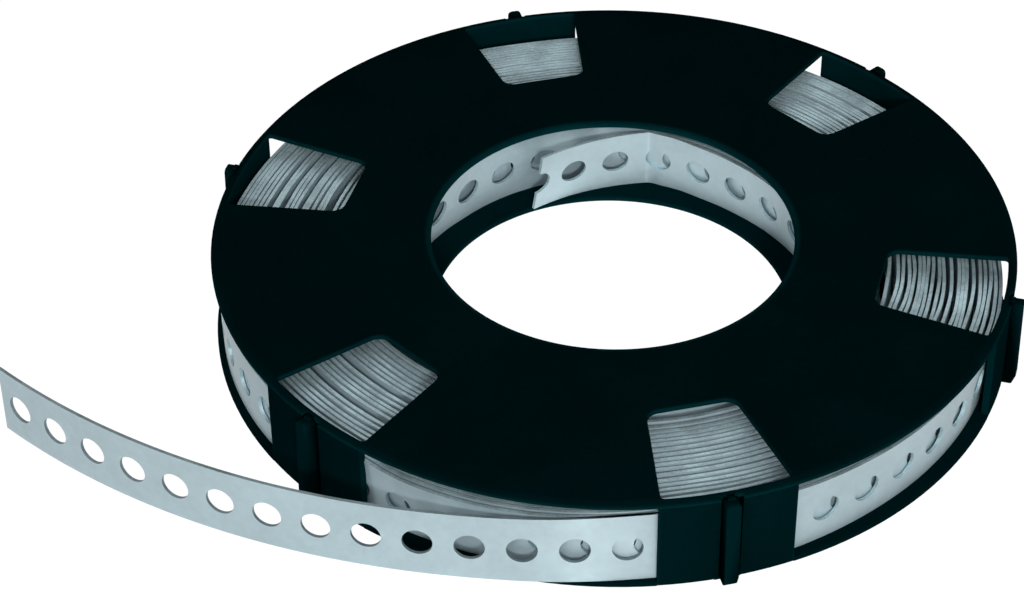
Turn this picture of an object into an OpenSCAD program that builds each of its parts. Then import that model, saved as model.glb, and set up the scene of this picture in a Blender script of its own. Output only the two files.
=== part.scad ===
// Galvanized fixing band, wound up in a flat round plastic cassette.
// The cassette's axis is Z and its underside lies on z = 0. Millimetres.
// The band winds inwards anticlockwise, seen from above. Its outer end leaves at the front (-Y).

/* [Band] */
// Width of the band, which is its height as it stands in the cassette
band_w = 17; // [12:0.5:30]
// Thickness of the sheet
band_t = 0.75; // [0.5:0.05:1]
// Diameter of the punched holes
hole_d = 6.5; // [4:0.1:8]
// Distance from hole to hole along the band
hole_pitch = 10.8; // [9:0.1:14]
// Distance from a cut end to its first hole
end_to_hole = 6; // [5:0.1:8]

/* [Coil] */
// Outer radius of the coil, without the turn that leaves it
coil_r_out = 85.4; // [70:0.1:85.6]
// Radius of the innermost turn's inner face
coil_r_in = 46.4; // [46:0.1:52]
// How far the loose coil lies towards the front of the cassette
coil_shift = 2; // [0:0.1:2.2]
// Number of turns
turns = 26; // [10:1:34]
// Depth of the gaps between the turns on both end faces
gap_depth = 1.2; // [0.4:0.1:3]

/* [Outer end] */
// Angle, right of the front, at which the outer end passes out between two walls
exit_angle = 3; // [0:0.5:6]
// Radius to which the free outer end has sprung open
tail_r = 176; // [120:1:260]
// Number of holes in the free outer end
tail_holes = 14; // [6:1:16]
// Plain stretch between the coil and the first hole
tail_lead = 10.2; // [6:0.1:16]

/* [Inner end] */
// Radius of the inner end past its kink
kink_r = 43; // [40:1:60]
// Angle by which the inner end is kinked away from the innermost turn
kink_bend = 5; // [4:0.5:8]
// Angle, anticlockwise from +X, at which the inner end leaves the innermost turn
kink_angle = 80; // [70:1:90]
// Length of the curved inner end
kink_len = 28; // [15:1:30]

/* [Cassette] */
// Outer radius of both flanges and of the walls
shell_r = 90; // [89.8:0.1:110]
// Radius of the open middle of the cassette
bore_r = 40.75; // [35:0.25:41]
// Thickness of the lower flange
floor_t = 1.3; // [1:0.1:3]
// Thickness of the upper flange
plate_t = 1.2; // [1:0.1:3]
// Free height between the band and the upper flange
play = 3.4; // [0.5:0.1:6]
// Bevel on the rims of the flanges
rim_bevel = 0.35; // [0.1:0.05:0.5]

/* [Walls and windows] */
// Number of windows, each with a wall outside it
windows = 6; // [3:1:8]
// Angle of the first window, anticlockwise from +X
window_start = 46; // [0:0.1:59]
// Half of the angle that a wall covers
wall_half = 9.4; // [7:0.1:12]
// Thickness of a wall
wall_t = 1.6; // [1.2:0.1:1.7]
// Radius of a window's inner edge
window_r_in = 61; // [55:0.5:75]
// Half of a window's width at its inner edge
window_half_in = 9.8; // [6:0.1:12]
// Radius of a window's inner corners
window_corner = 3; // [1:0.1:5]
// Clearance between a wall and its notch in the lower flange
notch_gap = 0.2; // [0.1:0.05:0.4]

/* [Clip ribs] */
// Width of the rib on the outside of each wall
rib_w = 3.2; // [2:0.1:5]
// How far a rib stands out at its top
rib_top = 2.4; // [1.5:0.1:4]
// How far a rib stands out at its foot
rib_foot = 2.8; // [1.5:0.1:4]
// Height of the slant at a rib's foot
rib_slant = 2.3; // [1:0.1:5]
// Width of the groove on either side of a rib
groove_w = 0.8; // [0.4:0.1:1.5]
// Depth of those grooves
groove_d = 0.7; // [0.3:0.1:0.9]
// Width of the neck between a rib and the upper flange
neck_w = 1.5; // [1:0.1:2.5]

/* [Hidden] */
$fn = 96;
eps = 0.01;
// How far the outer end starts inside the coil, and how much wider an edge shows than the sheet
sink = 0.05;
// The wall's outer face lies this far inside the flange's rim
rim_step = 0.1;
// The window's outer edge lies this far inside the wall's inner face
edge_step = 0.4;
// The rib's top lies this far below the flange's top
rib_drop = 0.1;
// Size of the slant under a rib's outer edge
rib_chamfer = 0.8;
// Width and depth of the pockets beside a rib's neck
pocket_w = 0.8;
pocket_in = 0.2;
// Flats along a window's rounded corner
corner_steps = 5;
zinc = [0.72, 0.75, 0.77];
plastic = [0.05, 0.08, 0.085];
height = floor_t + band_w + play + plate_t;
wall_r = shell_r - wall_t;
// Width of one turn's edge, and of the gap that shows between two turns
land_w = band_t + 2 * sink;
gap_w = (coil_r_out - coil_r_in - turns * land_w) / (turns - 1);
tail_len = (tail_holes - 1) * hole_pitch + end_to_hole + tail_lead;
// The outer end leaves the coil so far before it passes out that it clears the walls. Seen from the
// coil's middle, its circle meets the walls' inner face at pass_r, and its own middle is tail_off away.
pass_r = wall_r - coil_shift;
tail_off = tail_r + sink - band_t - coil_r_out;
tail_lead_angle = acos(min(1, (tail_r * tail_r - pass_r * pass_r - tail_off * tail_off)
    / (2 * pass_r * tail_off)));
tail_start = 270 + exit_angle + tail_lead_angle;
window_angles = [for (i = [0 : windows - 1]) window_start + i * 360 / windows];

// ---- band ----

// The coil's section: a block whose end faces are cut open between the turns
module coil_section() {
    difference() {
        translate([coil_r_in, 0]) square([coil_r_out - coil_r_in, band_w]);
        for (i = [1 : turns - 1], z = [-eps, band_w - gap_depth])
            translate([coil_r_in + i * land_w + (i - 1) * gap_w, z]) square([gap_w, gap_depth + eps]);
    }
}

// A point at a radius and an angle
function polar(r, a) = [r * cos(a), r * sin(a)];

// A wedge that reaches past everything, from one angle to another no more than 120 degrees on
module wedge(from, to) {
    reach = 2 * (shell_r + tail_r);
    translate([0, 0, -1]) linear_extrude(band_w + 2)
        polygon([[0, 0], polar(reach, from), polar(reach, (from + to) / 2), polar(reach, to)]);
}

// A free end of the band, curved about the origin. It starts at an angle and runs anticlockwise
// where way is 1, or clockwise where it is -1. Its holes are counted back from its cut end.
module free_end(radius, start, way, length, first_hole, holes) {
    per_mm = way / radius * 180 / PI;
    difference() {
        intersection() {
            rotate_extrude() translate([radius - band_t, 0]) square([band_t, band_w]);
            wedge(start, start + length * per_mm);
        }
        for (i = [0 : holes - 1])
            rotate(start + (length - first_hole - i * hole_pitch) * per_mm)
                translate([radius - band_t - 1, 0, band_w / 2]) rotate([0, 90, 0])
                    cylinder(d = hole_d, h = band_t + 2);
    }
}

// The outer end has left the coil's outermost turn and sprung open at the front
module outer_end() {
    translate(polar(-tail_off, tail_start))
        free_end(tail_r, tail_start, -1, tail_len, end_to_hole, tail_holes);
}

// The inner end is kinked away from the innermost turn, and was cut through the middle of a hole
module inner_end() {
    start = kink_angle + kink_bend;
    translate(polar(coil_r_in + band_t / 2, kink_angle) - polar(kink_r, start))
        free_end(kink_r, start, 1, kink_len, 0, 2);
}

module band() {
    color(zinc) translate([0, -coil_shift, floor_t]) {
        rotate_extrude() coil_section();
        outer_end();
        inner_end();
    }
}

// ---- cassette ----

// A flange's section with bevelled corners
module flange_section(thickness) {
    b = rim_bevel;
    polygon([
        [shell_r - b, 0], [shell_r, b], [shell_r, thickness - b], [shell_r - b, thickness],
        [bore_r + b, thickness], [bore_r, thickness - b], [bore_r, b], [bore_r + b, 0]
    ]);
}

// Points along an arc
function arc_points(cx, cy, r, from, to, steps) = [
    for (i = [0 : steps]) let (a = from + (to - from) * i / steps) [cx + r * cos(a), cy + r * sin(a)]
];

// A window as it lies along +X: slanted sides, rounded inner corners and a curved far edge
module window_shape() {
    r = window_corner;
    cx = window_r_in + r;
    cy = window_half_in - r + r * tan(wall_half / 2);
    slant = 90 + wall_half;
    far = shell_r + r;
    reach = cy + r * sin(slant) + (far - cx - r * cos(slant)) * tan(wall_half);
    intersection() {
        circle(r = wall_r - edge_step);
        polygon(concat(
            [[far, reach]],
            arc_points(cx, cy, r, slant, 180, corner_steps),
            arc_points(cx, -cy, r, 180, 360 - slant, corner_steps),
            [[far, -reach]]
        ));
    }
}

// A stretch of a ring, as tall as h and half as wide on either side of +X
module ring_sector(r_in, r_out, half, h) {
    rotate(-half) rotate_extrude(angle = 2 * half) translate([r_in, 0]) square([r_out - r_in, h]);
}

// The rib's outline seen from the side: x is the radius, y the height
module rib_outline() {
    polygon([
        [shell_r - groove_d, 0], [shell_r + rib_foot - rib_chamfer, 0], [shell_r + rib_foot, rib_slant],
        [shell_r + rib_top, height - rib_drop], [shell_r - groove_d, height - rib_drop]
    ]);
}

// The wall ends half way up inside the flange, and its rib ends just below the flange's top
module wall() {
    ring_sector(wall_r, shell_r - rim_step, wall_half, height - plate_t / 2);
    translate([0, rib_w / 2, 0]) rotate([90, 0, 0]) linear_extrude(rib_w) rib_outline();
}

// The grooves beside a rib, open all the way up, and the pockets that leave it its neck
module rib_grooves() {
    for (s = [0, 1]) mirror([0, s, 0]) {
        translate([shell_r - groove_d, rib_w / 2, -1]) cube([groove_d + 1, groove_w, height + 2]);
        translate([shell_r - groove_d - pocket_in, neck_w / 2, height - plate_t])
            cube([pocket_w, (rib_w - neck_w + groove_w) / 2, plate_t + 1]);
    }
}

module upper_flange() {
    difference() {
        rotate_extrude() flange_section(plate_t);
        for (a = window_angles) rotate(a) translate([0, 0, -1]) linear_extrude(plate_t + 2) window_shape();
    }
}

module upper_shell() {
    color(plastic) difference() {
        union() {
            translate([0, 0, height - plate_t]) upper_flange();
            for (a = window_angles) rotate(a) wall();
        }
        for (a = window_angles) rotate(a) rib_grooves();
    }
}

module lower_shell() {
    notch_half = wall_half + notch_gap / shell_r * 180 / PI;
    color(plastic) difference() {
        rotate_extrude() flange_section(floor_t);
        for (a = window_angles) rotate(a) translate([0, 0, -1])
            ring_sector(wall_r - notch_gap, shell_r + 1, notch_half, floor_t + 2);
    }
}

band();
upper_shell();
lower_shell();
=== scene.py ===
"""A perforated galvanized fixing band, wound up in its flat round plastic cassette."""

import math

import bmesh
import bpy
import numpy as np
from bpy.props import FloatProperty, FloatVectorProperty, IntProperty, PointerProperty
from mathutils import Euler, Matrix, Vector


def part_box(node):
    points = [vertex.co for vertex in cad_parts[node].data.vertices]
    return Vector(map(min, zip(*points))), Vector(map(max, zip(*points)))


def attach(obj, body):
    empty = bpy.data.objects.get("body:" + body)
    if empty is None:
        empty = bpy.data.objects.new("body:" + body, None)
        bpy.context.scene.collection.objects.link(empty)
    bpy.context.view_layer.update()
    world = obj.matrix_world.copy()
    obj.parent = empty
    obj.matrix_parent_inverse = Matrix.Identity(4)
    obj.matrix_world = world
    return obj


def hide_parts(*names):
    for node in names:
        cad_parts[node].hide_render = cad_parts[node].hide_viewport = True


bl_info = {
    "name": "Fixing Band Cassette",
    "version": (1, 0, 0),
    "blender": (4, 5, 0),
    "location": "3D View > Sidebar > Fixing Band",
    "description": "Models a wound perforated band in a plastic cassette",
    "category": "Add Mesh",
}

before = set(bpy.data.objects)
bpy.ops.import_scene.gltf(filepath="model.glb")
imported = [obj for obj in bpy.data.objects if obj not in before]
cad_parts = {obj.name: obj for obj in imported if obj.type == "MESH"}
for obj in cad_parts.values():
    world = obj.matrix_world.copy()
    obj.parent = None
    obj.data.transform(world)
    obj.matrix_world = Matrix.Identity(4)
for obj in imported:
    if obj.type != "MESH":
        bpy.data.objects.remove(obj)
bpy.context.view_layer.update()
SHELL_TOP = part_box("upper_shell")[1].z
FLOOR_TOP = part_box("lower_shell")[1].z
MM = 0.001
UP = (0.0, 0.0, 1.0)
# Vertices and levels nearer than this are the same
SAME = 0.001 * MM

# Directions, in degrees anticlockwise from +X, of the windows, in the order the band passes them
WINDOWS = (286, 346, 46, 106, 166, 226)
FIRST_WINDOW = math.radians(WINDOWS[2])
SIXTH = math.tau / len(WINDOWS)


# ---- sizes and colours a user would change ----

class BandSizes(bpy.types.PropertyGroup):
    width: FloatProperty(name="Width", description="Width of the band", default=17 * MM, unit="LENGTH")
    thickness: FloatProperty(name="Thickness", description="Thickness of the sheet",
                             default=0.75 * MM, unit="LENGTH")
    hole: FloatProperty(name="Hole", description="Diameter of the punched holes",
                        default=6.5 * MM, unit="LENGTH")
    pitch: FloatProperty(name="Pitch", description="Distance from hole to hole",
                         default=10.8 * MM, unit="LENGTH")
    end_to_hole: FloatProperty(name="End to hole", description="From the cut outer end to its first hole",
                               default=6 * MM, unit="LENGTH")
    tail_length: FloatProperty(name="Free end", description="Length of the outer end that has sprung out",
                               default=156.6 * MM, unit="LENGTH")
    tail_radius: FloatProperty(name="Free end radius", description="Radius of the sprung outer end",
                               default=176 * MM, unit="LENGTH")
    turns: IntProperty(name="Turns", description="Turns wound up in the cassette", default=26, min=4)
    zinc: FloatVectorProperty(name="Zinc", description="Colour of the galvanized faces", subtype="COLOR",
                              default=(0.445, 0.575, 0.622), size=3, min=0, max=1)
    cut_steel: FloatVectorProperty(name="Cut edge", description="Colour of the slit and punched edges",
                                   subtype="COLOR", default=(0.43, 0.58, 0.625), size=3, min=0, max=1)


class CassetteSizes(bpy.types.PropertyGroup):
    radius: FloatProperty(name="Radius", description="Outer radius of both flanges",
                          default=89.98 * MM, unit="LENGTH")
    bore: FloatProperty(name="Bore", description="Radius of the open middle",
                        default=40.75 * MM, unit="LENGTH")
    plate: FloatProperty(name="Plate", description="Thickness of the upper flange",
                         default=1.2 * MM, unit="LENGTH")
    window_inner: FloatProperty(name="Window inner edge", description="Radius of a window's inner edge",
                                default=61 * MM, unit="LENGTH")
    window_outer: FloatProperty(name="Window outer edge", description="Radius of a window's outer edge",
                                default=88 * MM, unit="LENGTH")
    window_half: FloatProperty(name="Window half width", description="Half of its width at the inner edge",
                               default=9.8 * MM, unit="LENGTH")
    window_corner: FloatProperty(name="Window corner", description="Radius of a window's inner corners",
                                 default=3 * MM, unit="LENGTH")
    wall_half: FloatProperty(name="Wall half angle", description="Half of the angle that a wall covers",
                             default=math.radians(9.4), subtype="ANGLE")
    plastic: FloatVectorProperty(name="Plastic", description="Colour of the moulded plastic",
                                 subtype="COLOR", default=(0.0002, 0.0092, 0.0107), size=3, min=0, max=1)


class StudioSizes(bpy.types.PropertyGroup):
    key: FloatProperty(name="Key lamp", description="Power of the lamp low in front",
                       default=9.3, subtype="POWER")
    front: FloatProperty(name="Front lamp", description="Power of the large soft lamp over the camera",
                         default=7.9, subtype="POWER")
    bounce: FloatProperty(name="Bounce", description="Power of the white floor's bounce inside the bore",
                          default=0.010, subtype="POWER")
    fill: FloatProperty(name="Sky", description="Strength of the plain white surroundings",
                        default=0.08, min=0)


# ---- mesh helpers ----

def faces_of(geom):
    return [g for g in geom if isinstance(g, bmesh.types.BMFace)]


def verts_of(geom):
    return [g for g in geom if isinstance(g, bmesh.types.BMVert)]


def everything(bm):
    return bm.verts[:] + bm.edges[:] + bm.faces[:]


def corners(faces):
    """The vertices of some faces, each once."""
    return list({v for f in faces for v in f.verts})


def whole(faces):
    """Some faces with their edges and vertices."""
    return faces + list({e for f in faces for e in f.edges}) + corners(faces)


def merge(bm):
    bmesh.ops.remove_doubles(bm, verts=bm.verts, dist=2 * SAME)


def remove(bm, faces):
    bmesh.ops.delete(bm, geom=faces, context="FACES")


def move(bm, verts, x=0, y=0, z=0):
    bmesh.ops.translate(bm, verts=verts, vec=(x, y, z))


def face_outwards(bm):
    bmesh.ops.recalc_face_normals(bm, faces=bm.faces)


def to_mesh(bm, name):
    """Puts a finished bmesh into a mesh of its own."""
    mesh = bpy.data.meshes.new(name)
    bm.to_mesh(mesh)
    bm.free()
    return mesh


def add_and_drop(bm, mesh):
    """Adds a passing mesh to a bmesh and removes it."""
    bm.from_mesh(mesh)
    bpy.data.meshes.remove(mesh)


def new_object(name, data):
    made = bpy.data.objects.new(name, data)
    bpy.context.scene.collection.objects.link(made)
    return made


def radius_of(point):
    return math.hypot(point.x, point.y)


def polar(r, a):
    return Vector((r * math.cos(a), r * math.sin(a)))


def chain(bm, points):
    """A row of vertices and the edges that join them."""
    verts = [bm.verts.new((*p, 0)) for p in points]
    return verts, [bm.edges.new(pair) for pair in zip(verts, verts[1:])]


def spin_ring(bm, radii, start, steps):
    """Spins a row of vertices at these radii into a flat ring. It starts at an angle and goes one
    stretch after another: (angle, number of steps)."""
    verts, edges = chain(bm, [polar(r, start) for r in radii])
    line = verts + edges
    for angle, count in steps:
        line = bmesh.ops.spin(bm, geom=line, cent=(0, 0, 0), axis=UP, angle=angle, steps=count,
                              use_merge=False)["geom_last"]
    merge(bm)


def inset(bm, faces, steps, way=1):
    """Insets a flat region again and again: (inwards, outwards of the sheet). This rounds its edges."""
    for inwards, rise in steps:
        bmesh.ops.inset_region(bm, faces=faces, use_boundary=True, use_even_offset=True, thickness=inwards)
        move(bm, corners(faces), z=rise * way)


def quarter_round(r, segments):
    """The inset steps that round an edge with radius r, and a narrow flat step after them."""
    flat = 0.1 * MM
    angles = [math.pi / 2 * i / segments for i in range(segments + 1)]
    steps = [(r * (math.cos(a) - math.cos(b)), r * (math.sin(b) - math.sin(a)))
             for a, b in zip(angles, angles[1:])]
    return steps + [(flat, 0)]


def between(a, b, count):
    """Points from a to b in even steps, without a itself."""
    return [a + (b - a) * i / count for i in range(1, count + 1)]


def mirrored(half):
    """A row of points that ends on the X axis, and the same row back on the other side."""
    return half + [Vector((p.x, -p.y)) for p in reversed(half[:-1])]


def rotate(bm, verts, angle):
    bmesh.ops.rotate(bm, verts=verts, cent=(0, 0, 0), matrix=Matrix.Rotation(angle, 3, "Z"))


def six_times(bm):
    """Turns what was modelled along +X to the first window's place, and repeats it all round."""
    rotate(bm, bm.verts, FIRST_WINDOW)
    first = everything(bm)
    for i in range(1, len(WINDOWS)):
        rotate(bm, verts_of(bmesh.ops.duplicate(bm, geom=first)["geom"]), i * SIXTH)
    merge(bm)


def paint_light_and_shade(bm, rule):
    """Stores the painted light and shade at each vertex: 1 on the open faces, more for a painted highlight,
    less for painted shade.
    """
    layer = bm.verts.layers.float.new("PaintedLight")
    bm.normal_update()
    for v in bm.verts:
        v[layer] = rule(v.co, v.normal)


def finish_piece(bm, name, materials, replaced, sharp=40):
    """Turns a bmesh into a piece that rides on the root body and stands for a CAD node."""
    mesh = to_mesh(bm, name)
    for material in materials:
        mesh.materials.append(material)
    mesh.shade_smooth()
    mesh.set_sharp_from_angle(angle=math.radians(sharp))
    piece = new_object(name, mesh)
    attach(piece, "root")
    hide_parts(replaced)


# ---- shader node helpers ----

def new_group(name, inputs, outputs):
    group = bpy.data.node_groups.new(name, "ShaderNodeTree")
    for label, kind, value in inputs:
        socket = group.interface.new_socket(name=label, in_out="INPUT", socket_type="NodeSocket" + kind)
        if value is not None:
            socket.default_value = value
    for label, kind in outputs:
        group.interface.new_socket(name=label, in_out="OUTPUT", socket_type="NodeSocket" + kind)
    return group, group.nodes.new("NodeGroupInput"), group.nodes.new("NodeGroupOutput")


def set_inputs(node, **values):
    for name, value in values.items():
        node.inputs[name.replace("_", " ")].default_value = value


def add(tree, kind, **values):
    """A new node with its settings. A setting that is not an attribute is an input by that name."""
    node = tree.nodes.new("ShaderNode" + kind)
    for key, value in values.items():
        if hasattr(node, key):
            setattr(node, key, value)
        else:
            set_inputs(node, **{key: value})
    return node


def link(tree, source, target):
    tree.links.new(source, target)


def feed(tree, node, inputs):
    """Gives a node's inputs, one after another, plain numbers or other nodes' outputs."""
    for socket, value in zip(node.inputs, inputs):
        if isinstance(value, float):
            socket.default_value = value
        else:
            link(tree, value, socket)
    return node.outputs[0]


def calculate(tree, operation, *inputs):
    """A Math node's result."""
    return feed(tree, add(tree, "Math", operation=operation), inputs)


def mix_shaders(tree, share, first, second):
    """The first shader where the share is 0, and the second where it is 1."""
    return feed(tree, add(tree, "MixShader"), (share, first, second))


def ramp(tree, source, low, high):
    """Black up to one value of the source and white from another on."""
    node = tree.nodes.new("ShaderNodeValToRGB")
    for element, place in zip(node.color_ramp.elements, (low, high)):
        element.position = place
    link(tree, source, node.inputs["Fac"])
    return node.outputs["Color"]


def spread(tree, source, low, high, start=0.0, end=1.0):
    """Takes the source's values from start to end to those from low to high."""
    node = add(tree, "MapRange", From_Min=start, From_Max=end, To_Min=low, To_Max=high)
    link(tree, source, node.inputs["Value"])
    return node.outputs["Result"]


def tint(tree, mask, colour, low, high):
    """A colour that a mask takes from one brightness to another."""
    mix = add(tree, "Mix", data_type="RGBA")
    for name, factor in (("A", low), ("B", high)):
        mix.inputs[name].default_value = (*(min(1.0, c * factor) for c in colour), 1)
    link(tree, mask, mix.inputs["Factor"])
    return mix.outputs["Result"]


def dimmed(tree, colour, factor):
    """A colour made darker or paler by a value that varies over the piece."""
    node = add(tree, "VectorMath", operation="SCALE")
    link(tree, colour, node.inputs[0])
    link(tree, factor, node.inputs["Scale"])
    return node.outputs[0]


def relief(tree, shader, height, strength, distance):
    """Raises the surface by a value that varies over the piece."""
    bump = add(tree, "Bump", Strength=strength, Distance=distance)
    link(tree, height, bump.inputs["Height"])
    link(tree, bump.outputs["Normal"], shader.inputs["Normal"])


def shared(tree, name, place, **values):
    """One of the shared effects with a finish's own values."""
    node = tree.nodes.new("ShaderNodeGroup")
    node.node_tree = bpy.data.node_groups[name]
    set_inputs(node, **values)
    link(tree, place, node.inputs["Vector"])
    return node.outputs[0]


def mottle_group():
    """Soft cloudy variation at two scales, about 0.5 in the middle."""
    coarse_share = 0.65
    group, enter, leave = new_group(
        "Mottle", [("Vector", "Vector", None), ("Coarse", "Float", 60.0), ("Fine", "Float", 600.0)],
        [("Value", "Float")])
    coarse = add(group, "TexNoise", Detail=3.0, Roughness=0.5)
    fine = add(group, "TexNoise", Detail=2.0, Roughness=0.6)
    for noise, scale in ((coarse, "Coarse"), (fine, "Fine")):
        link(group, enter.outputs["Vector"], noise.inputs["Vector"])
        link(group, enter.outputs[scale], noise.inputs["Scale"])
    clouds = calculate(group, "MULTIPLY", coarse.outputs["Fac"], coarse_share)
    both = calculate(group, "MULTIPLY_ADD", fine.outputs["Fac"], 1 - coarse_share, clouds)
    link(group, both, leave.inputs["Value"])


def scratch_group():
    """Fine scratches along the first axis: a mask that is 1 in a scratch."""
    group, enter, leave = new_group(
        "Scratches", [("Vector", "Vector", None), ("Scale", "Float", 900.0), ("Amount", "Float", 0.5)],
        [("Mask", "Float")])
    stretch = add(group, "VectorMath", operation="MULTIPLY")
    stretch.inputs[1].default_value = (0.03, 1.0, 1.0)
    link(group, enter.outputs["Vector"], stretch.inputs[0])
    noise = add(group, "TexNoise", Detail=2.0, Roughness=0.7)
    link(group, stretch.outputs[0], noise.inputs["Vector"])
    link(group, enter.outputs["Scale"], noise.inputs["Scale"])
    limit = calculate(group, "SUBTRACT", 1.0, enter.outputs["Amount"])
    mask = calculate(group, "GREATER_THAN", noise.outputs["Fac"], limit)
    link(group, mask, leave.inputs["Mask"])


def new_material(name):
    material = bpy.data.materials.new(name)
    material.use_nodes = True
    return material, material.node_tree, material.node_tree.nodes["Principled BSDF"]


def zinc_material(colour):
    """Bright hot-dip zinc: cloudy spangle, fine rolling lines and an uneven gloss."""
    material, tree, shader = new_material("Galvanized zinc")
    place = add(tree, "TexCoord").outputs["Object"]
    strip = add(tree, "UVMap", uv_map="Strip").outputs["UV"]
    mottle = shared(tree, "Mottle", place, Coarse=70.0, Fine=520.0)
    lines = shared(tree, "Scratches", strip, Scale=1400.0, Amount=0.36)
    spangle = add(tree, "TexVoronoi", Scale=330.0)
    link(tree, place, spangle.inputs["Vector"])
    grey = add(tree, "RGBToBW")
    link(tree, spangle.outputs["Color"], grey.inputs[0])
    base = tint(tree, ramp(tree, mottle, 0.36, 0.64), colour, 0.92, 1.05)
    facet = add(tree, "Mix", data_type="RGBA", blend_type="MULTIPLY", Factor=0.05)
    link(tree, base, facet.inputs["A"])
    link(tree, grey.outputs[0], facet.inputs["B"])
    link(tree, facet.outputs["Result"], shader.inputs["Base Color"])
    link(tree, spread(tree, mottle, 0.28, 0.42), shader.inputs["Roughness"])
    height = calculate(tree, "MULTIPLY_ADD", lines, 0.25, mottle)
    relief(tree, shader, height, 0.22, 0.06 * MM)
    # The rolling lines stretch every highlight across the band
    across = add(tree, "Tangent", direction_type="UV_MAP", uv_map="Strip")
    link(tree, across.outputs[0], shader.inputs["Tangent"])
    set_inputs(shader, Anisotropic=1.0, Anisotropic_Rotation=0.25, Metallic=0.2)
    return material


def cut_edge_material(colour):
    """Bare steel at slit and punched edges: duller, and uneven along the band."""
    material, tree, shader = new_material("Cut steel edge")
    place = add(tree, "TexCoord").outputs["Object"]
    mottle = shared(tree, "Mottle", place, Coarse=150.0, Fine=1500.0)
    base = tint(tree, ramp(tree, mottle, 0.34, 0.66), colour, 0.7, 1.45)
    # The cut edges are darker along the free outer end, where it lies outside the cassette
    along = add(tree, "SeparateXYZ")
    link(tree, add(tree, "UVMap", uv_map="Strip").outputs["UV"], along.inputs[0])
    darker_free_end = spread(tree, along.outputs["X"], 0.4, 1.0, 150 * MM, 158 * MM)
    link(tree, dimmed(tree, base, darker_free_end), shader.inputs["Base Color"])
    link(tree, spread(tree, mottle, 0.42, 0.68), shader.inputs["Roughness"])
    relief(tree, shader, mottle, 0.35, 0.08 * MM)
    set_inputs(shader, Metallic=0.4)
    return material


def plastic_material(colour):
    """Moulded black plastic with a blue-green cast: satin, with a fine grain and a few scuffs. Its colour
    carries painted highlights and painted shade.
    """
    material, tree, shader = new_material("Moulded black plastic")
    place = add(tree, "TexCoord").outputs["Object"]
    mottle = shared(tree, "Mottle", place, Coarse=45.0, Fine=900.0)
    scuffs = shared(tree, "Scratches", place, Scale=420.0, Amount=0.27)
    base = tint(tree, ramp(tree, mottle, 0.35, 0.65), colour, 0.85, 1.2)
    # Painted highlights make the roundings and cut faces paler, and painted shade makes the grooves and
    # pockets darker than the open faces
    painted_light = add(tree, "Attribute", attribute_name="PaintedLight").outputs["Fac"]
    link(tree, dimmed(tree, base, painted_light), shader.inputs["Base Color"])
    worn = calculate(tree, "MULTIPLY_ADD", scuffs, -0.08, spread(tree, mottle, 0.44, 0.6))
    link(tree, worn, shader.inputs["Roughness"])
    relief(tree, shader, mottle, 0.12, 0.04 * MM)
    set_inputs(shader, Specular_IOR_Level=0.0)
    return material


# ---- the wound band ----

def smooth(values, sigma):
    """Gaussian smoothing along a row of numbers, by a width of so many of them."""
    reach = int(sigma * 4)
    kernel = np.exp(-0.5 * (np.arange(-reach, reach + 1) / sigma) ** 2)
    padded = np.pad(values, reach, mode="edge")
    return np.convolve(padded, kernel / kernel.sum(), mode="valid")


# How the coil lies at each window: turns that show there, how uneven their gaps are, how much they
# tremble along their way, and the wider gaps among them (radius and extra width in millimetres)
COIL = {
    286: (20, 0.20, 0.04, ((83.5, 0.2), (77.2, 0.3), (69.8, 0.3))),
    346: (21, 0.50, 0.18, ((61.2, 1.6), (75.4, 0.4))),
    46: (22, 0.55, 0.03, ((80.2, 0.7), (75.1, 0.7), (72.4, 0.4), (68.8, 0.7), (63.5, 0.4))),
    106: (22, 0.35, 0.02, ((71.4, 0.3), (78.4, 0.2))),
    166: (21, 0.60, 0.08, ((79.7, 1.1), (76.1, 0.9), (72.8, 1.1), (65.9, 1.5))),
    226: (20, 0.20, 0.03, ((76.5, 1.1), (69.1, 1.2))),
}
# At some windows the first few gaps are narrow: how many, and their width beside the other gaps
TIGHT_GAPS = 3
TIGHT = {226: 0.35, 286: 0.45}
# The turns that show at a window lie outside this radius
INNER_EDGE_SHOWN = 60.5
# The gaps behind the innermost turn and the one before it, the inner one last
LAST_GAPS = (0.2, 0.9)
# The least gap between two turns, and how many of the innermost turns are kept from crossing
LEAST_GAP = 0.03
INNERMOST = 6
# The coil lies so far towards the front of the cassette
COIL_SHIFT = 2.0
# Directions at which the outer end leaves the coil and at which the turn under it starts to step in
LEAVES = 279.687
STEPS_IN = 598.0
# How far the outermost turn, the innermost one, the turns' depths, their tremble and the whole winding
# are smoothed, in degrees
OUTER_SOFT, INNER_SOFT, DEPTH_SOFT, TREMBLE_SOFT, WOUND_SOFT = 2.5, 1.5, 9, 3, 1.2
# The outermost turn's outer face: direction and radius in millimetres, from where the outer end leaves
OUTER_TURN = ((279.7, 88.07), (290, 88.05), (297, 88.0), (305, 87.65), (313, 87.55), (322, 87.5),
              (338, 87.35), (346, 87.1), (355, 86.7), (370, 86.0), (385, 85.1), (397, 84.6), (406, 84.4),
              (420, 84.1), (440, 83.8), (457, 83.7), (465, 83.4), (473, 84.2), (490, 85.3), (505, 85.9),
              (520, 86.4), (531, 87.1), (536, 88.1), (544, 88.7), (552, 88.75), (560, 88.65),
              (568, 88.55), (576, 88.2), (584, 87.95), (592, 87.85), (597, 88.0), (602, 88.2),
              (612, 88.2), (619, 88.05), (627, 87.8), (633, 87.5), (639.7, 87.2))
# How far the outermost turn's top leans out over its foot, as a slope
OUTER_LEAN = ((279.7, -0.05), (288, 0.0), (300, 0.06), (312, 0.08), (335, 0.07), (350, 0.05), (380, 0.02),
              (540, 0.02), (572, 0.02), (584, 0.03), (592, 0.05), (596, 0.1), (601, 0.2), (616, 0.21),
              (628, 0.12), (639.7, 0.0))
# The free outer end leans too, where it leaves the coil: distance from its cut end and slope
TAIL_LEAN = ((0, 0.0), (90, 0.0), (120, -0.015), (145, -0.05), (157, -0.05))
# How far the start of the free outer end bulges: height, distance from where it leaves, and width
TAIL_BULGE = (0.34, 26, 15)
TAIL_POINTS = 400
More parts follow.
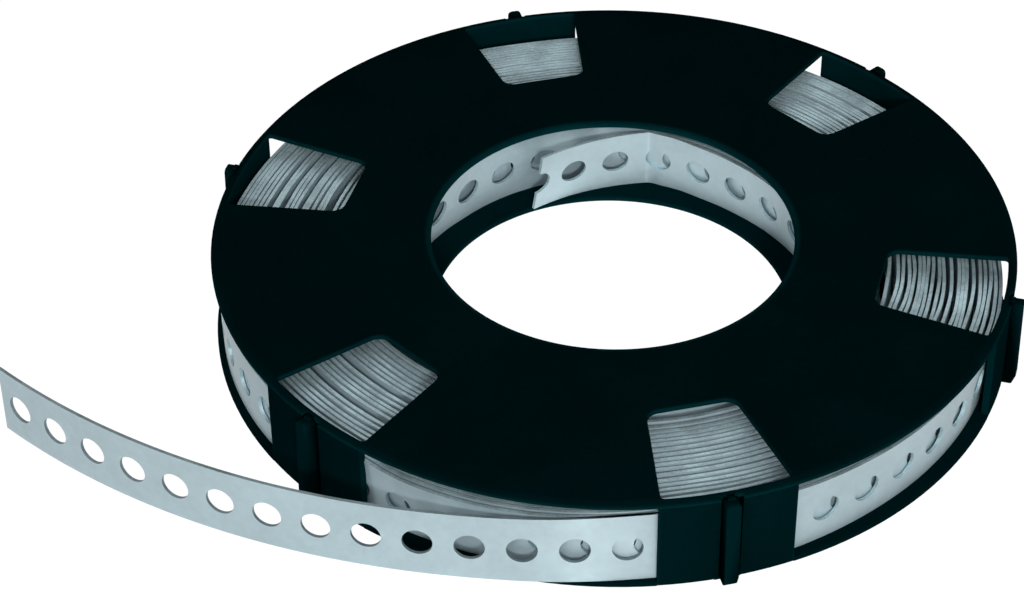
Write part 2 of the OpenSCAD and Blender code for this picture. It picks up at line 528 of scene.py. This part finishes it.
# The innermost turn's inner face, up to the kink: direction and radius
INNER_TURN = ((80, 47.75), (100, 47.0), (126, 46.2), (139, 45.8), (151, 46.3), (180, 46.8), (225, 46.6),
              (270, 46.2), (315, 45.8), (360, 45.6), (383.5, 45.0), (395, 44.3), (408.5, 43.75),
              (422.4, 44.0), (430, 44.9), (436.2, 46.2), (440, 46.9))
# The inner end: where it leaves the innermost turn, the length of its kink and its own length, the way
# it points past the kink in degrees, how much it turns in a millimetre, and its lean
KINK_ANGLE = 77.7
KINK_WIDTH = 2.6
END_LENGTH = 30.5
END_HEADING = 187.5
END_CURVE = 1.07
END_LEAN = -0.17
# How far the holes lie off an even pitch: place along the band and offset, from either end of it
DRIFT = ((0, 0.0), (146, -0.4), (190, -0.6), (240, -0.8), (590, -3.7), (650, -5.4), (760, -5.4),
         (1600, -6.0))
DRIFT_END = ((-1000, -4.0), (-900, -7.2), (-618, -7.2), (-583, -8.5), (-572, -8.9), (-550, -9.1),
             (-470, -3.6), (-420, -3.2), (-330, -3.2), (-240, -1.8), (-75, 1.1), (-7.5, 0.9), (-3.3, 0.0),
             (0, 0.0))
# The kink's middle lies so far along for that drift, and has lines across it at these distances
KINK_DRIFT = 0.96
KINK_LINES = (-2.0, -1.3, -0.8, -0.4, 0.0, 0.4, 0.8, 1.3, 2.0)
# How many of the first and of the last holes show, and the sides of a hole that shows or doesn't
SHOWN_HOLES = (80, 64)
SHOWN_SIDES, HIDDEN_SIDES = 32, 16
# The free outer end is cut off this far inside the CAD model's
END_TRIM = 0.12


def knots(table, places):
    """The second number of a table's rows, at places along the first."""
    x, y = zip(*table)
    return np.interp(places, x, y)


def turn_depths(direction, outer, inner, count, thickness, rng):
    """How deep under the outermost turn each turn lies, at the middle of one window."""
    shown, uneven, _, wide = COIL[direction]
    widths = np.clip(1 + uneven * rng.normal(0, 1, count - 1), 0.05, None)
    widths[:TIGHT_GAPS] *= TIGHT.get(direction, 1)
    free = outer - INNER_EDGE_SHOWN - shown * thickness
    widths[:shown] *= (free - sum(extra for _, extra in wide)) / widths[:shown].sum()
    for radius, extra in wide:
        places = outer - np.cumsum(widths[:shown]) - thickness * np.arange(1, shown + 1)
        widths[int(np.argmin(np.abs(places - radius)))] += extra
    # Out of sight the turns lie further apart, and the last ones lie close under the innermost turn
    hidden = count - 1 - shown
    close = min(len(LAST_GAPS), hidden - 1)
    free = outer - widths[:shown].sum() - shown * thickness - inner - hidden * thickness
    last = LAST_GAPS[-close:]
    widths[shown:] = (free - sum(last)) / (hidden - close)
    widths[count - 1 - close:] = last
    return np.concatenate([[0], np.cumsum(np.maximum(widths, LEAST_GAP) + thickness)])


def winding(band):
    """The radius of the band's middle line at each degree from the coil's outside to the kink."""
    thickness = band.thickness / MM
    count = int(round(KINK_ANGLE + 360 * band.turns - LEAVES)) + 1
    rng = np.random.default_rng(23)
    angles = LEAVES + np.arange(count)
    outer = smooth(knots(OUTER_TURN, angles[:361]), OUTER_SOFT)
    # The rings all follow the outermost turn, but pass under its start without a step
    step_in = int(STEPS_IN - LEAVES)
    step = outer[0] - outer[360]
    base = outer + step * np.clip((np.arange(361) - step_in) / (360 - step_in), 0, 1)
    base = base[np.arange(count) % 360]
    inner = smooth(knots(INNER_TURN, angles[-361:] - 360 * (band.turns - 1)), INNER_SOFT) + thickness
    marks, depths = [LEAVES, STEPS_IN, LEAVES + 360], [0.0, 0.0, step]
    for direction in WINDOWS:
        passes = np.arange(direction if direction > LEAVES else direction + 360, angles[-1], 360)
        last = inner[int(round(passes[-1] - angles[-361]))]
        at = int(round(passes[0] - LEAVES)) % 360
        row = turn_depths(direction, outer[at], last, len(passes), thickness, rng)
        marks += list(passes[1:])
        depths += list(row[1:])
    order = np.argsort(marks)
    depth = smooth(np.interp(angles, np.array(marks)[order], np.array(depths)[order]), DEPTH_SOFT)
    # Every turn but the outermost trembles, by as much as at the windows on either side
    tremble = smooth(rng.normal(0, 1, count + 40), TREMBLE_SOFT)[:count]
    strength = knots([(w, COIL[w % 360][2]) for w in range(WINDOWS[0] - 360, 420, 60)], angles % 360)
    depth[300:] += (tremble / tremble.std() * strength)[300:]
    depth[:361] = np.interp(angles[:361], marks[:3], depths[:3])
    depth[-361:] = base[-361:] - inner
    least = thickness + LEAST_GAP
    for i in range(361, count):
        depth[i] = max(depth[i], depth[i - 360] + least)
    for i in range(count - 362, count - 362 - 360 * INNERMOST, -1):
        depth[i] = min(depth[i], depth[i + 360] - least)
    radius = base - smooth(depth, WOUND_SOFT)
    return angles, radius - thickness / 2


def band_path(band):
    """The band's middle line seen from above, from the free outer end to the inner end, and its lean."""
    thickness = band.thickness / MM
    angles, radius = winding(band)
    first = math.radians(angles[0])
    ring = band.tail_radius / MM - thickness / 2
    contact = polar(radius[0], first)
    # The outer end's circle touches the coil where it leaves it
    coil_way = (contact - Vector((0, -COIL_SHIFT))).normalized()
    middle = contact - coil_way * ring
    base = math.atan2(coil_way.y, coil_way.x)
    length = band.tail_length / MM
    along = np.linspace(0, length, TAIL_POINTS, endpoint=False)
    height, back, width = TAIL_BULGE
    bulge = height * np.exp(-((along - length + back) / width) ** 2)
    turned = base - (length - along) / ring
    tail_x = middle.x + (ring + bulge) * np.cos(turned)
    tail_y = middle.y + (ring + bulge) * np.sin(turned)
    wound = np.radians(angles)
    x = np.concatenate([tail_x, radius * np.cos(wound)])
    y = np.concatenate([tail_y, radius * np.sin(wound)])
    # The inner end, kinked inwards, with its own slower curve. Its path runs on past the cut.
    apart = 0.25
    step = np.arange(apart, END_LENGTH + 1.4, apart)
    arriving = np.degrees(np.arctan2(y[-1] - y[-2], x[-1] - x[-2])) % 360
    bent = np.clip(step / KINK_WIDTH, 0, 1)
    bent = bent * bent * (3 - 2 * bent)
    past = END_HEADING + END_CURVE * (step - KINK_WIDTH / 2)
    heading = np.radians(arriving * (1 - bent) + past * bent)
    x = np.concatenate([x, x[-1] + np.cumsum(np.cos(heading)) * apart])
    y = np.concatenate([y, y[-1] + np.cumsum(np.sin(heading)) * apart])
    # A positive lean takes the top outwards. It fades from turn to turn towards the middle, where the
    # last seven turns come to lean inwards as the inner end does.
    turn = np.arange(len(angles)) / 360
    outer_lean = knots(OUTER_LEAN, angles[:361])[np.arange(len(angles)) % 360] * 0.9 ** turn
    inner_lean = END_LEAN * np.clip((turn - turn[-1] + 7) / 5, 0, 1)
    lean = np.concatenate([knots(TAIL_LEAN, along), outer_lean * (turn < 18) + inner_lean,
                           END_LEAN - 0.04 * np.clip(step / 20, 0, 1)])
    lean = smooth(lean, 2)
    s = np.concatenate([[0], np.cumsum(np.hypot(np.diff(x), np.diff(y)))])
    kink_at = s[TAIL_POINTS + len(angles) - 1]
    return s, x, y, lean, kink_at


def perforated_cell(bm, band, sides):
    """One length of band with its hole, lying flat: x runs along the band and y across it."""
    half_x, half_y = band.pitch / 2, band.width / 2
    points = 16
    rim = bmesh.ops.create_circle(bm, segments=points, radius=half_x, cap_ends=False)["verts"]
    rim.sort(key=lambda v: math.atan2(v.co.y, v.co.x) % math.tau)
    # The rim's vertices go to the cell's outline, four to a side, from the middle of the right side on
    for i, vert in enumerate(rim):
        quarter, part = divmod((i + 2) % points, 4)
        t = part / 2 - 1
        across, up = ((1, t), (-t, 1), (-1, -t), (t, -1))[quarter]
        vert.co = (across * half_x, up * half_y, 0)
    bmesh.ops.create_circle(bm, segments=sides, radius=band.hole / 2, cap_ends=False)
    flat = bmesh.ops.bridge_loops(bm, edges=bm.edges[:])["faces"]
    move(bm, bm.verts, z=-band.thickness / 2)
    top = bmesh.ops.extrude_face_region(bm, geom=flat)["geom"]
    move(bm, verts_of(top), z=band.thickness)
    remove(bm, [f for f in bm.faces if all(abs(abs(v.co.x) - half_x) < SAME for v in f.verts)])
    for f in bm.faces:
        f.material_index = 1 if abs(sum(v.co.z for v in f.verts)) < SAME else 0


def perforated_run(band, sides, count, offset):
    """A straight run of cells from a given place along the band."""
    bm = bmesh.new()
    perforated_cell(bm, band, sides)
    move(bm, bm.verts, x=offset)
    done = 1
    while done < count:
        # All the cells so far are repeated, or only as many as are still wanted
        wanted_end = offset + (count - done - 0.5) * band.pitch
        part = whole([f for f in bm.faces if f.calc_center_median().x < wanted_end])
        copy = bmesh.ops.duplicate(bm, geom=part)["geom"]
        move(bm, verts_of(copy), x=done * band.pitch)
        done = min(count, done * 2)
    merge(bm)
    return to_mesh(bm, "run")


class BAND_OT_wind(bpy.types.Operator):
    """Punch, wind and place the galvanized band"""
    bl_idname = "fixing_band.wind_band"
    bl_label = "Wind the Band"

    def execute(self, context):
        band = context.scene.fixing_band
        *path, kink_at = band_path(band)
        pitch, first = band.pitch / MM, band.end_to_hole / MM
        # The band is cut off through the middle of a hole
        cells = int(round((kink_at + END_LENGTH - first) / pitch))
        end = cells * pitch + first
        stretch = (kink_at + END_LENGTH) / end
        bm = bmesh.new()
        self.punch(bm, band, cells + 1)
        bmesh.ops.bisect_plane(bm, geom=everything(bm), dist=SAME / 10, plane_co=(end * MM, 0, 0),
                               plane_no=(1, 0, 0), clear_outer=True)
        self.line_kink(bm, (kink_at + KINK_WIDTH / 2 - KINK_DRIFT) / stretch)
        for v in bm.verts:
            if v.co.x < band.end_to_hole - band.pitch / 2 + SAME:
                v.co.x = END_TRIM * MM
        caps = bmesh.ops.holes_fill(bm, edges=[e for e in bm.edges if e.is_boundary], sides=0)["faces"]
        for f in caps:
            f.material_index = 1
        layer = bm.loops.layers.uv.new("Strip")
        for f in bm.faces:
            for loop in f.loops:
                loop[layer].uv = loop.vert.co.xy
        face_outwards(bm)
        self.wrap(bm, *path, stretch, band)
        finish_piece(bm, "wound_band",
                     [zinc_material(band.zinc), cut_edge_material(band.cut_steel)], "band", sharp=35)
        return {"FINISHED"}

    def punch(self, bm, band, cells):
        """A straight band with all its holes. Those near its two ends are rounder."""
        start, end = SHOWN_HOLES[0], cells - SHOWN_HOLES[1]
        for sides, a, b in ((SHOWN_SIDES, 0, start), (HIDDEN_SIDES, start, end), (SHOWN_SIDES, end, cells)):
            add_and_drop(bm, perforated_run(band, sides, b - a, band.end_to_hole + a * band.pitch))
        merge(bm)

    def line_kink(self, bm, middle):
        """The kink gets a few lines of its own across the band, so that it stays narrow."""
        reach = 8
        for step in KINK_LINES:
            near = whole([f for f in bm.faces if abs(f.calc_center_median().x / MM - middle) < reach])
            bmesh.ops.bisect_plane(bm, geom=near, dist=SAME, plane_co=((middle + step) * MM, 0, 0),
                                   plane_no=(1, 0, 0))

    def wrap(self, bm, s, x, y, lean, stretch, band):
        """Bends the straight band along its path."""
        co = np.array([v.co for v in bm.verts])
        along = co[:, 0] / MM * stretch
        end = along.max()
        along = along + knots(DRIFT + tuple((end + place, offset) for place, offset in DRIFT_END), along)
        px, py = np.interp(along, s, x), np.interp(along, s, y)
        heading = np.unwrap(np.arctan2(np.gradient(y, s), np.gradient(x, s)))
        way = np.interp(along, s, heading)
        tilt = np.interp(along, s, lean)
        out = co[:, 2] / MM + tilt * co[:, 1] / MM
        lift = self.lift(along, s[-1])
        new = np.stack([px + np.sin(way) * out, py - np.cos(way) * out,
                        FLOOR_TOP / MM + (band.width / 2 + co[:, 1]) / MM + lift], axis=-1) * MM
        for v, place in zip(bm.verts, new):
            v.co = place

    def lift(self, along, length):
        """Loose turns ride up a little, but the outermost ones don't."""
        rng = np.random.default_rng(5)
        apart, most, level = 60, 0.35, 14
        marks = np.arange(0, length + 2 * apart, apart)
        height = rng.uniform(0, most, len(marks))
        height[:level] = 0
        return np.interp(along, marks, height)


# ---- the cassette ----

def window_half(shell):
    """Half of a window's outline, from its outer edge round to the X axis. It has as many points as the
    half outline round it, to which it is bridged."""
    r, small, slant = shell.window_corner, 0.8 * MM, shell.wall_half
    outwards = math.pi / 2 + slant
    middle = Vector((shell.window_inner + r, shell.window_half - r + r * math.tan(slant / 2)))
    start = middle + polar(r, outwards)
    # The small corner's middle lies on a line along the side, and small away from the outer edge
    line, along = start - polar(small, outwards), polar(1, slant)
    reach = -line.dot(along) + math.sqrt(line.dot(along) ** 2 - line.length_squared
                                         + (shell.window_outer - small) ** 2)
    corner = line + along * reach
    first = math.atan2(corner.y, corner.x)
    points = [corner + polar(small, first + (outwards - first) * i / 4) for i in range(5)]
    points += between(points[-1], start, 8)
    points += [middle + polar(r, a) for a in between(outwards, math.pi, 6)]
    return points + between(points[-1], Vector((shell.window_inner, 0)), 8)


def thicken(bm, thickness, top_steps, bottom_steps):
    """Makes a flat region, facing up, a plate with rounded edges."""
    face_outwards(bm)
    if bm.faces[:][0].normal.z < 0:
        bmesh.ops.reverse_faces(bm, faces=bm.faces)
    bottom = bm.faces[:]
    top = faces_of(bmesh.ops.extrude_face_region(bm, geom=bottom)["geom"])
    move(bm, corners(top), z=thickness - sum(rise for _, rise in top_steps))
    move(bm, corners(bottom), z=sum(rise for _, rise in bottom_steps))
    inset(bm, top, top_steps)
    inset(bm, bottom, bottom_steps, -1)


def fall(r, depth, start, width, curve):
    """How far a flange's top falls away at a radius past its start."""
    return depth * max(0, (r - start) / width) ** curve


def finish_moulding(bm, name, replaced):
    finish_piece(bm, name, [bpy.data.materials["Moulded black plastic"]], replaced)


class BAND_OT_upper_shell(bpy.types.Operator):
    """Mould the upper shell: the flange with its windows, the walls and their clip ribs"""
    bl_idname = "fixing_band.mould_upper_shell"
    bl_label = "Mould the Upper Shell"

    rib_half = 1.6 * MM
    neck_half = 0.75 * MM
    # The grooves before and after a rib, as the band passes it, and their depth
    groove_before, groove_after = 0.4 * MM, 1.1 * MM
    groove_depth = 0.7 * MM
    # A wall's outer face lies this far inside the rim, and its painted highlight reaches this far in from its
    # ends
    wall_step = 0.04 * MM
    wall_end_highlight = 0.45 * MM
    wall_thickness = 1.56 * MM
    # The flange's rings of vertices: inside its rim, round its bore, and inside its windows
    rim_ring = 88.6 * MM
    bore_rings = (41.5 * MM, 42.3 * MM)
    bore_edge = 42.2 * MM
    collar = 43 * MM
    # How the top falls away to the rim and to the bore: depth, start, width and power
    rim_fall = (0.62 * MM, 87.95 * MM, 2.0 * MM, 1.4)
    bore_fall = (0.42 * MM, 42.3 * MM, -1.55 * MM, 2)
    # Painted light on the plastic in each place, beside 1 on the open faces: more is a painted highlight,
    # less is painted shade. A rounding's painted highlight is up to so much paler.
    painted_levels = {"rounding": 1.4, "bore": 2.6, "neck": 1.3, "pocket": 0.1, "inner face": 1.7, "wall end": 1.8,
              "groove": 0.12, "rib head": 1.5, "rib edge": 1.5, "rib side": 0.3, "far rib edge": 0.6}

    def execute(self, context):
        shell = context.scene.cassette
        bm = bmesh.new()
        self.flange(bm, shell)
        paint_light_and_shade(bm, self.flange_light_and_shade)
        self.add_six(bm, self.wall, shell)
        self.add_six(bm, self.rib, shell)
        face_outwards(bm)
        finish_moulding(bm, "upper_shell_moulding", "upper_shell")
        return {"FINISHED"}

    def beside_rib(self, place):
        """How far round from the middle of the nearest rib a place lies."""
        turned = (math.atan2(place.y, place.x) - FIRST_WINDOW) % SIXTH
        return (turned if turned < SIXTH / 2 else turned - SIXTH) * radius_of(place)

    def flange_light_and_shade(self, place, normal):
        """Painted highlights on the roundings, the cut faces, the bore's edge and a rib's neck, painted shade
        in the pockets beside the neck.
        """
        rim, side = bpy.context.scene.cassette.radius, abs(self.beside_rib(place))
        if radius_of(place) > rim - self.groove_depth * 1.1 and side < self.rib_half:
            return self.painted_levels["neck" if side < self.neck_half * 1.1 else "pocket"]
        if radius_of(place) < self.bore_edge:
            return self.painted_levels["bore"]
        return 1 + self.painted_levels["rounding"] * (1 - normal.z ** 2)

    def wall_light_and_shade(self, place, _normal):
        """Painted highlights at a wall's ends, on its inner face and on a rib's head and leading edge,
        painted shade in the grooves.
        """
        shell = bpy.context.scene.cassette
        r, side = radius_of(place), self.beside_rib(place)
        if r < shell.radius - 1.5 * MM:
            return self.painted_levels["inner face"]
        if abs(side) < self.rib_half + self.groove_after + 0.05 * MM:
            if r < shell.radius - self.groove_depth * 0.5:
                return self.painted_levels["groove"]
            if r > shell.radius + 0.3 * MM:
                return self.rib_light_and_shade(place.z, side)
        return self.painted_levels["wall end"] if abs(side) > shell.wall_half * r - 0.1 * MM else 1.0

    def rib_light_and_shade(self, level, side):
        """Painted light on a rib's head, then on its front from one side to the other: painted shade on its
        near side, a painted highlight on its edge, and painted shade on its far edge.
        """
        if level > SHELL_TOP - 2.2 * MM:
            return self.painted_levels["rib head"]
        if side < -1.55 * MM:
            return self.painted_levels["rib side"]
        if side < -1.2 * MM:
            return self.painted_levels["rib edge"]
        return self.painted_levels["far rib edge"] if side > 1.2 * MM else 1.0

    def groove_angles(self, r, inner):
        """Where the grooves beside a rib or its neck start and end at a radius, on either side."""
        return (self.rib_half + self.groove_before) / r, inner / r, (self.rib_half + self.groove_after) / r

    def in_groove(self, face, r, angles):
        before, inner, after = angles
        middle = face.calc_center_median()
        at = math.atan2(middle.y, middle.x)
        return radius_of(middle) > r - self.groove_depth and (inner < at < after or -before < at < -inner)

    def flange(self, bm, shell):
        """A sixth of the flange lies round its window: a plain ring inside it, a rim outside it."""
        rim, edge, half = shell.radius, shell.window_outer, SIXTH / 2
        window = window_half(shell)
        open_half = math.atan2(window[0].y, window[0].x)
        outline = [polar(edge, a) for a in [open_half] + between(open_half, half, 10)]
        outline += between(polar(edge, half), polar(self.collar, half), 4)
        outline += [polar(self.collar, half * (12 - i) / 12) for i in range(1, 13)]
        bmesh.ops.bridge_loops(bm, edges=chain(bm, mirrored(outline))[1] + chain(bm, mirrored(window))[1])
        before, neck, after = angles = self.groove_angles(rim, self.neck_half)
        spin_ring(bm, [edge, self.rim_ring, rim - self.groove_depth, rim], -half,
                  [(half - open_half, 10), (open_half - before, 4), (before - neck, 2), (2 * neck, 2),
                   (after - neck, 2), (open_half - after, 4), (half - open_half, 10)])
        spin_ring(bm, [shell.bore, *self.bore_rings, self.collar], -half, [(2 * half, 24)])
        remove(bm, [f for f in bm.faces if self.in_groove(f, rim, angles)])
        six_times(bm)
        thicken(bm, shell.plate, quarter_round(0.4 * MM, 3), [(0.12 * MM, 0.12 * MM)])
        foot = SHELL_TOP - shell.plate
        move(bm, bm.verts, z=foot)
        # The rim and the bore's edge fall away softly, and the underside stays flat
        for v in bm.verts:
            r, upper = radius_of(v.co), (v.co.z - foot) / shell.plate
            v.co.z -= (fall(r, *self.rim_fall) + fall(r, *self.bore_fall)) * max(0, min(1, upper * 1.4 - 0.2))

    def add_six(self, bm, make, shell):
        """Makes one part along +X and adds it six times."""
        part = bmesh.new()
        make(part, shell)
        six_times(part)
        face_outwards(part)
        paint_light_and_shade(part, self.wall_light_and_shade)
        add_and_drop(bm, to_mesh(part, "part"))

    def wall(self, bm, shell):
        """A wall with a groove on either side of its rib. It ends a little way up inside the flange."""
        face_r, half = shell.radius - self.wall_step, shell.wall_half
        before, rib, after = angles = self.groove_angles(face_r, self.rib_half)
        radii = [face_r - self.wall_thickness, face_r - self.groove_depth, face_r]
        edge = self.wall_end_highlight / face_r
        spin_ring(bm, radii, -half, [(edge, 1), (half - before - edge, 5), (before - rib, 1), (2 * rib, 2),
                                     (after - rib, 1), (half - after - edge, 5), (edge, 1)])
        remove(bm, [f for f in bm.faces if self.in_groove(f, face_r, angles)])
        thicken(bm, SHELL_TOP - shell.plate + 0.3 * MM, [], [(0.25 * MM, 0.25 * MM)])

    def rib(self, bm, shell):
        """A clip rib: a block that stands out from the wall, slanted at its foot, round at its head."""
        rim, slant = shell.radius, 2.3 * MM
        root, top = rim - self.groove_depth, SHELL_TOP - 0.5 * MM
        # How far it stands out from the rim at each height
        reach = {0: 2.0 * MM, slant: 2.8 * MM, top: 2.4 * MM}
        bmesh.ops.create_cube(bm, size=1)
        bmesh.ops.scale(bm, verts=bm.verts, vec=(1, 2 * self.rib_half, top))
        bmesh.ops.bisect_plane(bm, geom=everything(bm), plane_co=(0, 0, slant - top / 2), plane_no=UP)
        for v in bm.verts:
            v.co.z += top / 2
            level = min(reach, key=lambda height: abs(height - v.co.z))
            v.co.x = rim + reach[level] if v.co.x > 0 else root
        head = [e for e in bm.edges if all(v.co.z > top - SAME for v in e.verts)
                and abs(e.verts[0].co.x - e.verts[1].co.x) > SAME]
        bmesh.ops.bevel(bm, geom=head, offset=1.0 * MM, offset_type="OFFSET", segments=4, profile=0.5,
                        affect="EDGES", material=-1)
        sharp = [e for e in bm.edges if e.calc_face_angle(0) > 0.5
                 and not all(v.co.x < root + SAME for v in e.verts)]
        bmesh.ops.bevel(bm, geom=sharp, offset=0.3 * MM, offset_type="OFFSET", segments=3, profile=0.5,
                        affect="EDGES", material=-1, clamp_overlap=True)
        # The neck that joins it to the flange, and the web that closes the grooves at their foot
        self.block(bm, (rim - 0.9 * MM, rim + 0.5 * MM), self.neck_half, (top - 0.6 * MM, top + 0.38 * MM))
        self.block(bm, (rim - 1.4 * MM, rim - 0.1 * MM), self.rib_half + self.groove_after + 0.1 * MM,
                   (0.03 * MM, 0.6 * MM))

    def block(self, bm, reach, half, level):
        """A plain block: from one radius to another, so wide to either side, from one height to another."""
        block = bmesh.ops.create_cube(bm, size=1)["verts"]
        bmesh.ops.scale(bm, verts=block, vec=(reach[1] - reach[0], 2 * half, level[1] - level[0]))
        move(bm, block, sum(reach) / 2, 0, sum(level) / 2)


class BAND_OT_lower_shell(bpy.types.Operator):
    """Mould the lower shell: the plain flange with a notch for each wall"""
    bl_idname = "fixing_band.mould_lower_shell"
    bl_label = "Mould the Lower Shell"

    def execute(self, context):
        shell = context.scene.cassette
        rim, half = shell.radius, SIXTH / 2
        # The notches fit the walls closely
        notch, notch_r = shell.wall_half + 0.03 * MM / rim, rim - 1.8 * MM
        bm = bmesh.new()
        spin_ring(bm, [shell.bore, 42 * MM, notch_r, rim], -half,
                  [(half - notch, 10), (2 * notch, 10), (half - notch, 10)])
        remove(bm, [f for f in bm.faces if self.in_notch(f.calc_center_median(), notch, notch_r)])
        six_times(bm)
        thicken(bm, FLOOR_TOP, quarter_round(0.35 * MM, 3), [(0.15 * MM, 0.15 * MM)])
        face_outwards(bm)
        paint_light_and_shade(bm, self.painted_light)
        finish_moulding(bm, "lower_shell_moulding", "lower_shell")
        return {"FINISHED"}

    def in_notch(self, place, notch, notch_r):
        return radius_of(place) > notch_r and abs(math.atan2(place.y, place.x)) < notch

    def painted_light(self, place, _normal):
        """Painted light round the bore: paler than the open faces, most of all at its foot."""
        return 1.0 if radius_of(place) > 42.5 * MM else 2.4 - place.z / FLOOR_TOP


# ---- stage ----

# The lamps: where each stands, and how wide and how high it is
KEY_LAMP = ((0.161, -1.411, 0.736), (0.17, 0.17))
FRONT_LAMP = ((0.1, -1.15, 0.95), (2.4, 0.6))
BOUNCE_LAMP = ((0, 0, 0.0005), (0.076, 0.076))
# The camera: its lens in millimetres, where it stands, and how it is turned in degrees
CAMERA_LENS = 100.9
CAMERA_PLACE = (0, -0.50859, 0.41842)
CAMERA_TURN = (50.804, 0.48, 2.17)
# The floor: half its width, the grey and the faint glow that light the pieces, and how it is seen
FLOOR_HALF = 3
FLOOR_GREY = 0.85
FLOOR_GLOW = 0.3
FLOOR_SEEN = 1.07
SEEN_SHARE = 0.92
WHITE = (1, 1, 1, 1)


def white_for_view(tree, shader_out, white, target):
    """Shows plain white to the camera and to gloss, and the given shader to all other light."""
    path = add(tree, "LightPath").outputs
    seen = calculate(tree, "MAXIMUM", path["Is Camera Ray"], path["Is Glossy Ray"])
    seen = calculate(tree, "MAXIMUM", seen, path["Is Transmission Ray"])
    link(tree, mix_shaders(tree, seen, shader_out, white), target)


class BAND_OT_stage(bpy.types.Operator):
    """Set up the plain studio: floor, surroundings, lamps and camera"""
    bl_idname = "fixing_band.set_stage"
    bl_label = "Set the Stage"

    def execute(self, context):
        scene = context.scene
        studio = scene.studio
        self.camera(scene)
        self.floor()
        self.surroundings(scene, studio)
        self.lamp("key_lamp", *KEY_LAMP, studio.key)
        self.lamp("front_lamp", *FRONT_LAMP, studio.front)
        # The bounce lamp shines straight up and isn't seen
        bounce = self.lamp("bounce_lamp", *BOUNCE_LAMP, studio.bounce)
        bounce.rotation_euler = (math.pi, 0, 0)
        bounce.visible_camera = bounce.visible_glossy = False
        scene.view_settings.view_transform = "Standard"
        return {"FINISHED"}

    def camera(self, scene):
        data = bpy.data.cameras.new("view_camera")
        data.lens = CAMERA_LENS
        data.sensor_width = 36
        data.clip_start = 0.01
        scene.camera = new_object("view_camera", data)
        turned = Euler([math.radians(angle) for angle in CAMERA_TURN])
        scene.camera.matrix_world = Matrix.LocRotScale(Vector(CAMERA_PLACE), turned, None)

    def floor(self):
        bm = bmesh.new()
        bmesh.ops.create_grid(bm, x_segments=1, y_segments=1, size=FLOOR_HALF)
        floor = new_object("floor", to_mesh(bm, "floor"))
        material, tree, shader = new_material("Pale floor")
        set_inputs(shader, Base_Color=(FLOOR_GREY, FLOOR_GREY, FLOOR_GREY, 1), Roughness=0.9,
                   Specular_IOR_Level=0.1, Emission_Color=WHITE, Emission_Strength=FLOOR_GLOW)
        lit = shader.outputs[0]
        soft = mix_shaders(tree, SEEN_SHARE, lit, add(tree, "Emission", Strength=FLOOR_SEEN).outputs[0])
        white_for_view(tree, lit, soft, tree.nodes["Material Output"].inputs["Surface"])
        floor.data.materials.append(material)

    def surroundings(self, scene, studio):
        world = bpy.data.worlds.new("Plain surroundings")
        world.use_nodes = True
        tree = world.node_tree
        sky = tree.nodes["Background"]
        set_inputs(sky, Strength=studio.fill, Color=WHITE)
        white = add(tree, "Background", Strength=1.0, Color=WHITE)
        white_for_view(tree, sky.outputs[0], white.outputs[0], tree.nodes["World Output"].inputs["Surface"])
        scene.world = world

    def lamp(self, name, place, size, power):
        """A soft lamp, so wide and so high, that shines at the middle of the floor."""
        data = bpy.data.lights.new(name, "AREA")
        data.shape = "ELLIPSE"
        data.size, data.size_y = size
        data.energy = power
        lamp = new_object(name, data)
        lamp.location = place
        lamp.rotation_euler = Vector(place).to_track_quat("Z", "Y").to_euler()
        return lamp


class BAND_OT_finishes(bpy.types.Operator):
    """Make the shared finishes before the pieces"""
    bl_idname = "fixing_band.make_finishes"
    bl_label = "Make the Finishes"

    def execute(self, context):
        mottle_group()
        scratch_group()
        plastic_material(context.scene.cassette.plastic)
        return {"FINISHED"}


class BAND_PT_panel(bpy.types.Panel):
    """Sizes and steps of the fixing band cassette"""
    bl_idname = "BAND_PT_panel"
    bl_label = "Fixing Band"
    bl_space_type = "VIEW_3D"
    bl_region_type = "UI"
    bl_category = "Fixing Band"

    def draw(self, context):
        layout = self.layout
        for settings in (context.scene.fixing_band, context.scene.cassette, context.scene.studio):
            box = layout.box()
            for name in settings.bl_rna.properties.keys():
                if name not in ("rna_type", "name"):
                    box.prop(settings, name)
        for step in STEPS:
            layout.operator(step.bl_idname)


STEPS = (BAND_OT_finishes, BAND_OT_stage, BAND_OT_lower_shell, BAND_OT_upper_shell, BAND_OT_wind)
CLASSES = (BandSizes, CassetteSizes, StudioSizes, *STEPS, BAND_PT_panel)


def register():
    for cls in CLASSES:
        bpy.utils.register_class(cls)
    bpy.types.Scene.fixing_band = PointerProperty(type=BandSizes)
    bpy.types.Scene.cassette = PointerProperty(type=CassetteSizes)
    bpy.types.Scene.studio = PointerProperty(type=StudioSizes)


def unregister():
    del bpy.types.Scene.fixing_band, bpy.types.Scene.cassette, bpy.types.Scene.studio
    for cls in reversed(CLASSES):
        bpy.utils.unregister_class(cls)


def main():
    register()
    bpy.ops.fixing_band.make_finishes()
    bpy.ops.fixing_band.set_stage()
    bpy.ops.fixing_band.mould_lower_shell()
    bpy.ops.fixing_band.mould_upper_shell()
    bpy.ops.fixing_band.wind_band()


if __name__ == "__main__":
    main()
